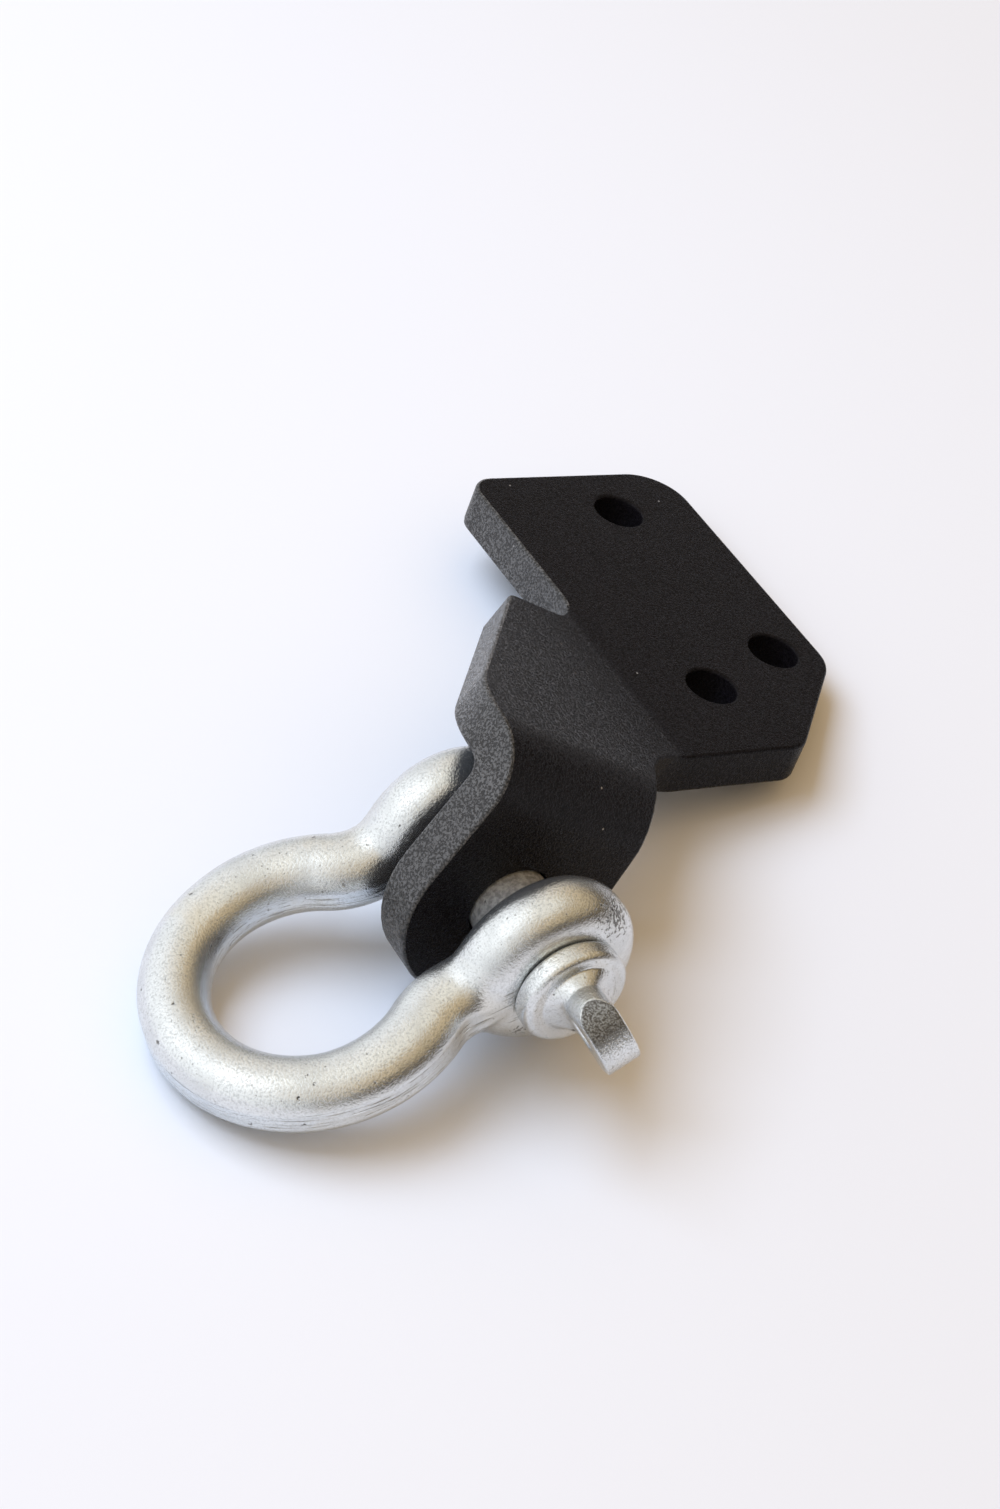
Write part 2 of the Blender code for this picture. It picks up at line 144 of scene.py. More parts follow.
def makePowderCoat(side):
    # The cut edges' coat is painted lighter and greyer than the faces': painted light from the window
    # on the rough cut edges
    groove, crestColour = coat[side]
    material, tree, shader = newMaterial("powder_coat_" + side)
    point = addNode(tree, "ShaderNodeTexCoord", (-1200, 0)).outputs["Object"]
    # Wormy crests between crisp grooves, on a skin that waves like orange peel
    grain = addNoise(tree, (-900, 0), point, coat["grainScale"][side], detail=1.5, distortion=0.6)
    crest = addRange(tree, (-650, 0), grain, coat["crestEnds"])
    peel = addNoise(tree, (-900, -250), point, coat["peelScale"], detail=2.0, rough=0.5)
    cloud = addNoise(tree, (-900, 300), point, coat["cloudScale"], detail=4.0)
    tone = addRange(tree, (-650, 300), cloud, coat["cloudEnds"], coat["cloudDarkest"], 1.0)
    shade = addMath(tree, (-400, 200), "MULTIPLY", crest, tone)
    colour = addMix(tree, (-200, 300), shade, groove, crestColour)
    # Dust caught in the skin shows as rare pale specks
    inputs = {"Vector": point, "Scale": coat["dustScale"]}
    dust = addNode(tree, "ShaderNodeTexVoronoi", (-900, -500), inputs)
    speck = addRange(tree, (-600, -500), dust.outputs["Distance"], coat["dustEnds"], 1.0, 0.0)
    lot = addNode(tree, "ShaderNodeSeparateColor", (-700, -700), {"Color": dust.outputs["Color"]})
    drawn = addMath(tree, (-500, -700), "GREATER_THAN", lot.outputs["Red"], 1.0 - coat["dustShare"])
    speck = addMath(tree, (-350, -600), "MULTIPLY", speck, drawn)
    colour = addMix(tree, (0, 250), speck, colour, coat["dust"])
    rough = addRange(tree, (0, 0), crest, (0.0, 1.0), *coat["roughness"])
    soft = addBump(tree, (100, -350), peel, coat["peelDepth"])
    crisp = addBump(tree, (400, -250), crest, coat["grainDepth"][side], soft)
    feedShader(tree, shader, colour, rough, crisp)
    shader.inputs["Specular IOR Level"].default_value = coat["specular"][side]
    return material


# Galvanised forging: satin zinc with a fine crystalline skin, pits and tarnish

zinc = {
    "bright": (0.79, 0.815, 0.825),
    "dull": (0.53, 0.55, 0.56),
    "tarnish": (0.75, 0.71, 0.61),
    "stain": (0.24, 0.245, 0.25),
    "pit": (0.10, 0.095, 0.09),
    "metallic": {"zinc_bow": 0.93, "zinc_pin_head": 0.93, "zinc_pin_shank": 0.45},
    "roughness": (0.17, 0.27),
    "roughEnds": (0.30, 0.70),
    "grainScale": 1500.0,
    "grainDepth": 0.00013,
    "speckleEnds": (0.34, 0.56),
    "speckleMost": 0.75,
    "cloudScale": {"zinc_bow": 70.0, "zinc_pin_head": 70.0, "zinc_pin_shank": 620.0},
    "cloudEnds": (0.40, 0.68),
    "cloudMost": 0.50,
    "tarnishScale": 38.0,
    "tarnishEnds": (0.50, 0.75),
    "tarnishMost": 0.45,
    "stainEnds": (0.36, 0.64),
    "stainMost": 0.60,
}
pits = {
    "scale": 300.0,
    "ends": (0.66, 0.71),
    "fieldScale": 26.0,
    "fieldEnds": (0.45, 0.62),
    "outsideFields": 0.10,
    "smallScale": 1050.0,
    "smallEnds": (0.70, 0.77),
    "smallMost": 0.85,
    "markWeight": 0.28,
    "sink": 1.2,
}
scores = {
    "stretch": (70.0, 1500.0, 1.0),  # coarse along the bar, fine across it
    "ends": (0.57, 0.68),
    "sink": 0.9,
    "darkness": 0.5,
}
shear = {
    "steel": (0.095, 0.088, 0.080),
    "fleckScale": 2300.0,
    "fleckWeight": 1.4,
    "bareEnds": (0.86, 1.18),
    "tornEnds": (0.38, 0.66),
    "tornMost": 0.55,
    "rougher": 0.22,
    "tearHeight": 1.4,
}


def addPits(tree, point):
    # Pits that the zinc didn't level: in fields, and small ones where the mesh is marked for them
    holes = addNoise(tree, (-1200, -50), point, pits["scale"], rough=0.7)
    field = addNoise(tree, (-1200, -300), point, pits["fieldScale"], detail=2.0)
    pit = addRange(tree, (-950, -50), holes, pits["ends"])
    where = addRange(tree, (-950, -300), field, pits["fieldEnds"], pits["outsideFields"], 1.0)
    pit = addMath(tree, (-750, -100), "MULTIPLY", pit, where)
    marked = addNode(tree, "ShaderNodeAttribute", (-1200, -450), attribute_name="pitted").outputs["Fac"]
    small = addNoise(tree, (-1200, -650), point, pits["smallScale"], detail=2.0, rough=0.6)
    small = addMath(tree, (-950, -450), "MULTIPLY_ADD", marked, pits["markWeight"], small)
    small = addRange(tree, (-750, -450), small, pits["smallEnds"], 0.0, pits["smallMost"])
    return addMath(tree, (-600, -200), "MAXIMUM", pit, small)


def addScores(tree):
    # Trimming the flash left scores along the bar, on the flats that the mesh marks
    route = addNode(tree, "ShaderNodeUVMap", (-1500, -1100), uv_map="route").outputs["UV"]
    inputs = {"Vector": route, "Scale": scores["stretch"]}
    stretched = addNode(tree, "ShaderNodeMapping", (-1300, -1100), inputs).outputs["Vector"]
    lines = addNoise(tree, (-1100, -1100), stretched, 1.0, rough=0.6)
    flats = addNode(tree, "ShaderNodeAttribute", (-1300, -1350), attribute_name="flash").outputs["Fac"]
    score = addRange(tree, (-900, -1100), lines, scores["ends"])
    return addMath(tree, (-700, -1100), "MULTIPLY", score, flats)


def addShear(tree, point):
    # Bare, torn steel where the round rim was cut off flat, breaking up towards its end
    mark = addNode(tree, "ShaderNodeAttribute", (-1300, -1350), attribute_name="trimmed").outputs["Fac"]
    flecks = addNoise(tree, (-1100, -1550), point, shear["fleckScale"], detail=2.0, rough=0.6)
    edge = addMath(tree, (-900, -1350), "MULTIPLY_ADD", flecks, shear["fleckWeight"], mark)
    bare = addRange(tree, (-700, -1350), edge, shear["bareEnds"])
    torn = addRange(tree, (-700, -1550), flecks, shear["tornEnds"], 0.0, shear["tornMost"])
    steel = addMix(tree, (-500, -1500), torn, shear["steel"], zinc["dull"])
    tearing = addMath(tree, (-500, -1300), "MULTIPLY", flecks, bare)
    return bare, steel, tearing


def makeZinc(name, stained=False, scored=False, sheared=False):
    material, tree, shader = newMaterial(name)
    point = addNode(tree, "ShaderNodeTexCoord", (-1500, 0)).outputs["Object"]
    grain = addNoise(tree, (-1200, -550), point, zinc["grainScale"], detail=2.5, rough=0.7)
    cloud = addNoise(tree, (-1200, 500), point, zinc["cloudScale"][name], detail=5.0, rough=0.6)
    patch = addRange(tree, (-950, 500), cloud, zinc["cloudEnds"], 0.0, zinc["cloudMost"])
    speckle = addRange(tree, (-950, 700), grain, zinc["speckleEnds"], zinc["speckleMost"], 0.0)
    dullness = addMath(tree, (-750, 600), "MAXIMUM", patch, speckle)
    colour = addMix(tree, (-600, 500), dullness, zinc["bright"], zinc["dull"])
    tint = addNoise(tree, (-1200, 250), point, zinc["tarnishScale"], rough=0.6, distortion=0.6)
    yellow = addRange(tree, (-950, 250), tint, zinc["tarnishEnds"], 0.0, zinc["tarnishMost"])
    colour = addMix(tree, (-400, 400), yellow, colour, zinc["tarnish"])
    if stained:
        stain = addRange(tree, (-950, 900), cloud, zinc["stainEnds"], 0.0, zinc["stainMost"])
        colour = addMix(tree, (-300, 600), stain, colour, zinc["stain"])
    pit = addPits(tree, point)
    colour = addMix(tree, (-200, 350), pit, colour, zinc["pit"])
    height = addMath(tree, (-700, -650), "MULTIPLY_ADD", pit, -pits["sink"], grain)
    rough = addRange(tree, (-300, 0), cloud, zinc["roughEnds"], *zinc["roughness"])
    if scored:
        score = addScores(tree)
        height = addMath(tree, (-500, -800), "MULTIPLY_ADD", score, -scores["sink"], height)
        dark = addMath(tree, (-500, -1100), "MULTIPLY", score, scores["darkness"])
        colour = addMix(tree, (150, 400), dark, colour, zinc["pit"])
    if sheared:
        bare, steel, tearing = addShear(tree, point)
        colour = addMix(tree, (150, 400), bare, colour, steel)
        rough = addMath(tree, (-100, -100), "MULTIPLY_ADD", bare, shear["rougher"], rough)
        height = addMath(tree, (-300, -900), "MULTIPLY_ADD", tearing, shear["tearHeight"], height)
    feedShader(tree, shader, colour, rough, addBump(tree, (300, -300), height, zinc["grainDepth"]))
    shader.inputs["Metallic"].default_value = zinc["metallic"][name]
    return material


# Mesh helpers

def finishMesh(obj, body, node, slotName, *materials):
    obj.data.materials.clear()
    for material in materials:
        obj.data.materials.append(material)
    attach(obj, body)
    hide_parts(node)
    obj.data.update()


def meshObject(name, bm):
    mesh = bpy.data.meshes.new(name)
    bm.to_mesh(mesh)
    bm.free()
    obj = bpy.data.objects.new(name, mesh)
    bpy.context.scene.collection.objects.link(obj)
    return obj


def addBoolean(obj, other, operation):
    boolean = obj.modifiers.new(other.name, "BOOLEAN")
    boolean.object = other
    boolean.operation = operation
    boolean.solver = "EXACT"


def applyModifiers(obj):
    # The evaluated mesh, with every modifier in it, replaces the one that had them
    graph = bpy.context.evaluated_depsgraph_get()
    mesh = bpy.data.meshes.new_from_object(obj.evaluated_get(graph))
    obj.modifiers.clear()
    old = obj.data
    obj.data = mesh
    mesh.name = obj.name
    bpy.data.meshes.remove(old)


def spun(profile, steps, stand):
    # A closed turned solid around X from a list of (x, radius), then placed by the matrix
    bm = bmesh.new()
    verts = [bm.verts.new((x, r, 0.0)) for x, r in profile]
    edges = [bm.edges.new(pair) for pair in zip(verts, verts[1:])]
    bmesh.ops.spin(
        bm, geom=verts + edges, cent=(0, 0, 0), axis=(1, 0, 0), angle=2 * pi, steps=steps,
        use_merge=True,
    )
    bmesh.ops.remove_doubles(bm, verts=bm.verts, dist=1e-6)
    bmesh.ops.recalc_face_normals(bm, faces=bm.faces)
    bmesh.ops.transform(bm, matrix=stand, verts=bm.verts)
    return bm


def joinRings(bm, rings):
    # Quads from ring to ring, one row after the other
    faces = []
    for one, other in zip(rings, rings[1:]):
        for k in range(len(one)):
            n = (k + 1) % len(one)
            faces.append(bm.faces.new((one[k], one[n], other[n], other[k])))
    return faces


def closeEnds(bm, rings):
    bm.faces.new(rings[0])
    bm.faces.new(list(reversed(rings[-1])))
    bmesh.ops.recalc_face_normals(bm, faces=bm.faces)


# Bracket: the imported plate, its triangles joined so that the folds shade smoothly

plate = {
    "thickness": 0.0127,
    "thicknessSlack": 0.0006,
    "holeAcross": 0.0260,  # a wall that faces another one nearer than this is in a hole
    "bevelWidth": 0.0008,
    "shadedEdgesFrom": 0.020,  # y from which the cut edges facing away from the window keep the dark face coat, without painted light
    "rayLead": 0.0005,
    "weld": 2e-6,
    "flatWeight": 60,
}
onFace, onPaintedLitEdge = 0, 1  # the places of the two coats in the material slots; the second is painted light


def coatOfFaces(bm):
    # A triangle is on a face of the plate where the other face lies one thickness behind it,
    # in a hole where the opposite wall is near, and otherwise on a cut edge
    walls = BVHTree.FromBMesh(bm)
    kinds, holeWalls = [], set()
    for face in bm.faces:
        centre = face.calc_center_median()
        lead = face.normal * plate["rayLead"]
        depth = walls.ray_cast(centre - lead, -face.normal)[3] or 0.0
        across = walls.ray_cast(centre + lead, face.normal)[3] or 1.0
        flat = abs(depth + plate["rayLead"] - plate["thickness"]) < plate["thicknessSlack"]
        if across < plate["holeAcross"]:
            holeWalls.add(face)
        # The mounting plate's cut edges that face away from the window get the dark face coat, without
        # painted light; the other cut edges get the lighter coat, as painted light
        shaded = centre.y > plate["shadedEdgesFrom"] and face.normal.dot(cameraLeft) < 0.0
        kinds.append(onFace if flat or shaded or face in holeWalls else onPaintedLitEdge)
    # The narrow bevels round the holes belong to their walls: three rows of triangles at most
    for _ in range(3):
        for face in bm.faces:
            narrow = 2.0 * face.calc_area() / max(edge.calc_length() for edge in face.edges)
            beside = {other for edge in face.edges for other in edge.link_faces}
            if narrow < plate["bevelWidth"] and beside & holeWalls:
                kinds[face.index] = onFace
                holeWalls.add(face)
    return kinds


def dressBracket(faceMaterial, paintedLitEdgeMaterial):
    bm = bmesh.new()
    bm.from_mesh(frame["nodes"]["bracket"].data)
    bmesh.ops.remove_doubles(bm, verts=bm.verts, dist=plate["weld"])
    bm.normal_update()
    bm.faces.index_update()
    kinds = coatOfFaces(bm)
    dressed = meshObject("bracket_plate", bm)
    dressed.data.shade_smooth()
    weighted = dressed.modifiers.new("even shading", "WEIGHTED_NORMAL")
    weighted.mode = "FACE_AREA"
    weighted.weight = plate["flatWeight"]
    applyModifiers(dressed)
    finishMesh(dressed, "bracket", "bracket", "powder_coat", faceMaterial, paintedLitEdgeMaterial)
    dressed.data.polygons.foreach_set("material_index", kinds)
    dressed.data.update()


# Shackle bow: lofted along its middle line like the forging, with its parting line

bow = {
    "bar": 0.0190,
    "jaw": 0.0318,
    "earThickness": 0.0193,
    "earRadius": 0.0235,
    "earFace": 0.0130,  # radius of the ear's flat, outside which it rounds off
    "earRounding": 2.3,
    "neckBlend": 0.0140,
    "neckRise": 0.5,
    "neckFade": 0.0070,
    "neckEase": 0.0032,
    "swell": 0.0012,
    "crownSwellShare": 0.4,
    "crownCentre": 0.0544,
    "crownRadius": 0.0345,
    "shoulderRadius": 0.0200,
    "restSwing": radians(27.0 - restTilt),
    "sides": 112,
    "crowding": 0.72,
    "step": 0.0009,
}
# What the dies, the trimming and the scale left on the forging
forged = {
    "flatDepth": 0.00050,
    "neckFlat": 0.00035,
    "neckAt": 0.031,
    "neckSpread": 0.009,
    "flatRunOut": 0.010,
    "insideRaised": 0.6,  # share of its depth that the inside's flat lacks
    "steepest": 0.2,
    "groundEase": 0.00012,
    "groundLead": 0.4,
    "flashHeight": 0.00016,
    "flashWidth": 0.00045,
    "flashWave": (0.45, 0.55, 160.0),  # steady part, wandering part, scale
    "flashOnEar": 0.4,
    "leastBar": 0.004,
    "uneven": 0.00012,
    "dents": ((0.5, 70.0), (0.12, 420.0)),  # depth, scale
    "dentLevel": 0.5,
    # The first field is a pitted patch; the second darkens and dents a small spot on the near ear's
    # face just beside the collar
    "pitted": ((0.0315, -0.0175, -0.0115, 0.0085), (0.0350, 0.0140, 0.0100, 0.0030)),  # x, y, z, radius
    "pittedEase": 0.7,
}
bore = {
    "radius": 0.0112,
    "chamfer": 0.0007,
    "beyond": 0.0040,
    "turns": 7,
    "groove": ((0.0, 0.0), (0.0004, 0.0), (0.00125, 0.0009), (0.0021, 0.0)),  # along, deep
    "steps": 128,
    "sharpFrom": radians(32),
}
earOuter = bow["jaw"] / 2 + bow["earThickness"]


def earHalf(rho):
    # Half the ear's thickness at a distance from the pin's axis
    half = bow["earThickness"] / 2
    if rho <= bow["earFace"]:
        return half
    share = (rho - bow["earFace"]) / (bow["earRadius"] - bow["earFace"])
    power = bow["earRounding"]
    return half * max(0.0, 1.0 - share**power) ** (1 / power)


def earReach(y, angle):
    # How far the ear reaches from the middle line at this angle, found by halving
    if abs(y) >= bow["earRadius"]:
        return 0.0
    low, high = 0.0, 1.2 * bow["earRadius"]
    for _ in range(24):
        r = (low + high) / 2
        inside = r * abs(cos(angle)) < earHalf(hypot(y, r * sin(angle)))
        low, high = (r, high) if inside else (low, r)
    return low


def sharpReach(s, angle, swell):
    # The larger of bar and ear, with a soft blend between them along the neck
    bar = bow["bar"] / 2 + bow["swell"] * swell * (1.0 - sin(angle)) / 2
    ear = earReach(s, angle)
    if s <= 0.0:
        return ear
    rising = min(1.0, s / (bow["neckRise"] * bow["earRadius"]))
    fading = min(1.0, max(0.0, 1.0 - (s - bow["earRadius"]) / bow["neckFade"]))
    blend = bow["neckBlend"] * sin(angle) ** 2 * rising * fading
    overlap = max(blend - abs(bar - ear), 0.0) / blend if blend > 1e-9 else 0.0
    return max(bar, ear) + overlap * overlap * blend / 4


def barReach(s, angle, swell):
    # The radius round the middle line at a length s from the pin, eased along the neck
    ease = min(bow["neckEase"], max(0.0, (s - bow["earFace"]) / 2))
    if ease == 0.0 or s > bow["earRadius"] + bow["neckFade"] + bow["neckEase"]:
        return sharpReach(s, angle, swell)
    weights = ((-2, 1), (-1, 2), (0, 3), (1, 2), (2, 1))
    return sum(weight * sharpReach(s + ease * k / 2, angle, swell) for k, weight in weights) / 9


def bowRoute():
    # (x, y, dx, dy, s, swell) from one ear's end to the middle of the crown
    step = bow["step"]
    earX = (bow["jaw"] + bow["earThickness"]) / 2
    spread = bow["crownRadius"] + bow["shoulderRadius"]
    beta = pi - asin((earX + bow["shoulderRadius"]) / spread)
    turn = Vector((spread * sin(beta), bow["crownCentre"] + spread * cos(beta)))
    route = []
    count = round(bow["earRadius"] / step)
    for k in range(1, count):
        y = -bow["earRadius"] * cos(pi / 2 * k / count)
        route.append((earX, y, 0.0, 1.0, y, 0.0))
    count = round(turn.y / step)
    for k in range(count):
        y = turn.y * k / count
        swell = max(0.0, (y - bow["earFace"]) / (turn.y - bow["earFace"]))
        route.append((earX, y, 0.0, 1.0, y, swell))
    count = round((beta - pi / 2) * bow["shoulderRadius"] / step)
    for k in range(count):
        angle = (beta - pi / 2) * k / count
        x = turn.x - bow["shoulderRadius"] * cos(angle)
        y = turn.y + bow["shoulderRadius"] * sin(angle)
        route.append((x, y, sin(angle), cos(angle), turn.y + bow["shoulderRadius"] * angle, 1.0))
    start = turn.y + bow["shoulderRadius"] * (beta - pi / 2)
    count = round(beta * bow["crownRadius"] / step)
    for k in range(count + 1):
        angle = beta * (1 - k / count)
        x = bow["crownRadius"] * sin(angle)
        y = bow["crownCentre"] + bow["crownRadius"] * cos(angle)
        s = start + bow["crownRadius"] * beta * k / count
        swell = max(0.0, 1.0 - k / count / bow["crownSwellShare"])
        route.append((x, y, -cos(angle), sin(angle), s, swell))
    return route


def sideAngle(k):
    # The points of a ring crowd towards the parting line, where the flats and the flash are
    turn = 2 * pi * k / bow["sides"]
    return turn - bow["crowding"] * sin(2 * turn) / 2


def flatDepth(s):
    # The trimming die left a flat along the parting line, deepest in the hollow neck
    neck = exp(-(((s - forged["neckAt"]) / forged["neckSpread"]) ** 2))
    depth = forged["flatDepth"] + forged["neckFlat"] * neck
    return depth * min(1.0, max(0.0, (s - bow["earFace"]) / forged["flatRunOut"]))


def forgedReach(s, angle, smooth, spot, flats):
    # The radius with the flat, the flash line and the uneven skin, and how far it is ground
    level = forged["dentLevel"]
    dent = level + sum(depth * noise.noise(spot * scale) for depth, scale in forged["dents"])
    r = smooth - forged["uneven"] * max(0.0, dent)
    ground = 0.0
    if flats:
        flat = flats[0 if cos(angle) > 0 else 1] / max(forged["steepest"], abs(cos(angle)))
        ground = min(1.0, max(0.0, (smooth - flat) / forged["groundEase"] + forged["groundLead"]))
        r = min(r, flat)
    # Distance round the bar from the parting line, outside or inside the bow
    off = min(abs(angle), abs(angle - pi), abs(2 * pi - angle)) * max(smooth, forged["leastBar"])
    steady, wandering, scale = forged["flashWave"]
    wave = steady + wandering * noise.noise(spot * scale)
    ridge = exp(-((off / forged["flashWidth"]) ** 2)) * wave
    height = forged["flashHeight"] * max(0.0, ridge)
    r += height * (1.0 if s > bow["earFace"] else forged["flashOnEar"])
    return max(r, 1e-5), ground


def pittedAt(spot):
    near = [(spot - Vector(field[:3])).length / field[3] for field in forged["pitted"]]
    return max(0.0, 1.0 - min(near)) ** forged["pittedEase"]


def addRing(bm, mirror, station):
    # One cross-section of the bow, with the marks that the zinc reads
    flash, pitted = bm.verts.layers.float["flash"], bm.verts.layers.float["pitted"]
    x, y, dx, dy, s, swell = station
    depth = flatDepth(s)
    flats = None
    if depth > 0.0:
        outside, inside = [barReach(s, side, swell) - depth for side in (0.0, pi)]
        flats = (outside, inside + forged["insideRaised"] * depth)

    def onRing(r, angle):
        return Vector((mirror * (x + r * cos(angle) * dy), y - r * cos(angle) * dx, r * sin(angle)))

    ring = []
    for k in range(bow["sides"]):
        angle = sideAngle(k)
        smooth = barReach(s, angle, swell)
        r, ground = forgedReach(s, angle, smooth, onRing(smooth, angle), flats)
        vert = bm.verts.new(onRing(r, angle))
        vert[flash] = ground
        vert[pitted] = pittedAt(vert.co) if mirror > 0 else 0.0
        ring.append(vert)
    return ring


def loftBow():
    half = bowRoute()
    stations = [(1, station) for station in half] + [(-1, station) for station in reversed(half[:-1])]
    bm = bmesh.new()
    bm.verts.layers.float.new("flash")
    bm.verts.layers.float.new("pitted")
    routeMap = bm.loops.layers.uv.new("route")
    rings = [addRing(bm, mirror, station) for mirror, station in stations]
    # The UV map runs along the middle line and round the bar, in metres
    middle = [Vector((mirror * station[0], station[1])) for mirror, station in stations]
    along = [0.0]
    for last, here in zip(middle, middle[1:]):
        along.append(along[-1] + (here - last).length)
    around = [sideAngle(k) * bow["bar"] / 2 for k in range(bow["sides"] + 1)]
    for index, face in enumerate(joinRings(bm, rings)):
        n, k = divmod(index, bow["sides"])
        corners = ((n, k), (n, k + 1), (n + 1, k + 1), (n + 1, k))
        for loop, (a, b) in zip(face.loops, corners):
            loop[routeMap].uv = (along[a], around[b])
    closeEnds(bm, rings)
    return bm


def boreShape():
    # One drilled hole through both ears, chamfered at every face, threaded in the far ear
    inner, outer, beyond = bow["jaw"] / 2, earOuter, bore["beyond"]
    r, edge = bore["radius"], bore["chamfer"]
    profile = [(-outer - beyond, 0.0), (-outer - beyond, r + edge * 2), (-outer, r + edge)]
    for k in range(bore["turns"]):
        x = -outer + edge + k * pin["threadPitch"]
        profile += [(x + along, r + deep) for along, deep in bore["groove"]]
    profile += [(-inner - edge, r), (-inner, r + edge), (inner, r + edge), (inner + edge, r)]
    profile += [(outer - edge, r), (outer, r + edge), (outer + beyond, r + edge * 2)]
    profile.append((outer + beyond, 0.0))
    return meshObject("bore_shape", spun(profile, bore["steps"], Matrix.Translation(pinAxis)))


def buildBow(material):
    bm = loftBow()
    turn = Matrix.Rotation(pi + bow["restSwing"], 4, "X")
    bmesh.ops.transform(bm, matrix=Matrix.Translation(pinAxis) @ turn, verts=bm.verts)
    forging = meshObject("bow_forging", bm)
    forging.data.shade_smooth()
    drill = boreShape()
    addBoolean(forging, drill, "DIFFERENCE")
    applyModifiers(forging)
    bpy.data.objects.remove(drill, do_unlink=True)
    forging.data.shade_smooth()
    forging.data.set_sharp_from_angle(angle=bore["sharpFrom"])
    finishMesh(forging, "bow", "shackle_bow", "galvanised_bow", material)


# Screw pin: turned shank, rolled thread, and a forged head with its paddle

pin = {
    "shank": 0.0111,
    "shankSteps": 128,
    "shankSink": 0.001,  # into the collar
    "endChamfer": (0.0007, 0.0006),
    "runOut": ((0.0012, 0.0004), (0.0018, 0.0)),  # along, below the shank
    "sharpFrom": radians(28),
    "gap": 0.0003,
    "threadPitch": 0.0025,
    "threadDepth": 0.0014,
    "threadLength": 0.0195,
    "threadEnds": 0.001,
    "threadSink": 0.0002,
    "threadFoot": 0.82,
    "threadCrest": 0.22,
    "threadSteps": 96,
}
head = {
    "collarRadius": 0.0147,
    "collarThickness": 0.0062,
    "collarRound": 0.0022,
    "collarSteps": 96,
    "rootRadius": 0.0103,
    "rootLength": 0.0055,
    "rootSink": 0.0015,
    "waistRadius": 0.0096,
    "waistAt": 0.0040,
    "blankRadius": 0.0148,
    "blankReach": 0.0170,
    "tabRadius": 0.0118,
    "tabReach": 0.0213,
    "tabThickness": 0.0100,
    "tabOffset": 0.0007,
    "tabTurn": radians(128.0 - restTilt),
    "tabLevels": 40,
    "tabSteps": (40, 36),  # up to the disc's centre, and past it
    "tabEnd": radians(87.5),
    "tabLevelEnd": 0.9995,  # keeps a ring's outermost points off the steep end of the rounding
    "eyeRadius": 0.0040,
    "eyeChamfer": 0.0006,
    "eyeFlare": (0.0020, 0.0025),
    "eyeSteps": 64,
    "voxel": 0.00028,
    "softening": (0.5, 6),
    "markEase": 0.0004,
    "markLead": 1.6,
    "markEnds": (0.0165, 0.0215),
}
tabCentre = head["tabReach"] - head["tabRadius"]


def buildShank(material):
    r = pin["shank"]
    core = r - pin["threadDepth"]
    along, inwards = pin["endChamfer"]
    runOut = -earOuter + pin["threadLength"]
    end = earOuter + pin["gap"] + pin["shankSink"]
    profile = [(-earOuter, 0.0), (-earOuter, core - inwards), (-earOuter + along, core)]
    profile.append((runOut, core))
    profile += [(runOut + x, r - below) for x, below in pin["runOut"]]
    profile += [(end, r), (end, 0.0)]
    shank = meshObject("pin_shank", spun(profile, pin["shankSteps"], Matrix.Translation(pinAxis)))
    shank.data.shade_smooth()
    shank.data.set_sharp_from_angle(angle=pin["sharpFrom"])
    finishMesh(shank, "pin", "shackle_pin", "galvanised_pin", material)


def threadTree():
    # Geometry Nodes: one ridge swept along a helix round the shank's core
    tree = bpy.data.node_groups.new("rolled thread", "GeometryNodeTree")
    tree.interface.new_socket("Geometry", in_out="OUTPUT", socket_type="NodeSocketGeometry")
    for name in ("Turns", "Radius", "Pitch", "Depth", "Foot Share", "Crest Share"):
        tree.interface.new_socket(name, in_out="INPUT", socket_type="NodeSocketFloat")
    tree.interface.new_socket("Material", in_out="INPUT", socket_type="NodeSocketMaterial")
    given = addNode(tree, "NodeGroupInput", (-900, 0)).outputs
    rise = addMath(tree, (-700, 200), "MULTIPLY", given["Turns"], given["Pitch"])
    foot = addMath(tree, (-700, 0), "MULTIPLY", given["Pitch"], given["Foot Share"])
    crest = addMath(tree, (-700, -200), "MULTIPLY", given["Pitch"], given["Crest Share"])
    inputs = {"Resolution": pin["threadSteps"], "Rotations": given["Turns"], "Height": rise}
    inputs["Start Radius"] = given["Radius"]
    inputs["End Radius"] = given["Radius"]
    helix = addNode(tree, "GeometryNodeCurveSpiral", (-450, 200), inputs)
    inputs = {"Bottom Width": foot, "Top Width": crest, "Height": given["Depth"], "Offset": 0.0}
    shape = "GeometryNodeCurvePrimitiveQuadrilateral"
    ridge = addNode(tree, shape, (-450, -100), inputs, mode="TRAPEZOID")
    inputs = {"Curve": helix.outputs["Curve"], "Profile Curve": ridge.outputs["Curve"]}
    inputs["Fill Caps"] = True
    sweep = addNode(tree, "GeometryNodeCurveToMesh", (-200, 100), inputs)
    inputs = {"Geometry": sweep.outputs["Mesh"], "Material": given["Material"]}
    paint = addNode(tree, "GeometryNodeSetMaterial", (0, 100), inputs)
    inputs = {"Geometry": paint.outputs["Geometry"]}
    real = addNode(tree, "GeometryNodeRealizeInstances", (200, 100), inputs)
    addNode(tree, "NodeGroupOutput", (400, 100), {"Geometry": real.outputs["Geometry"]})
    return tree


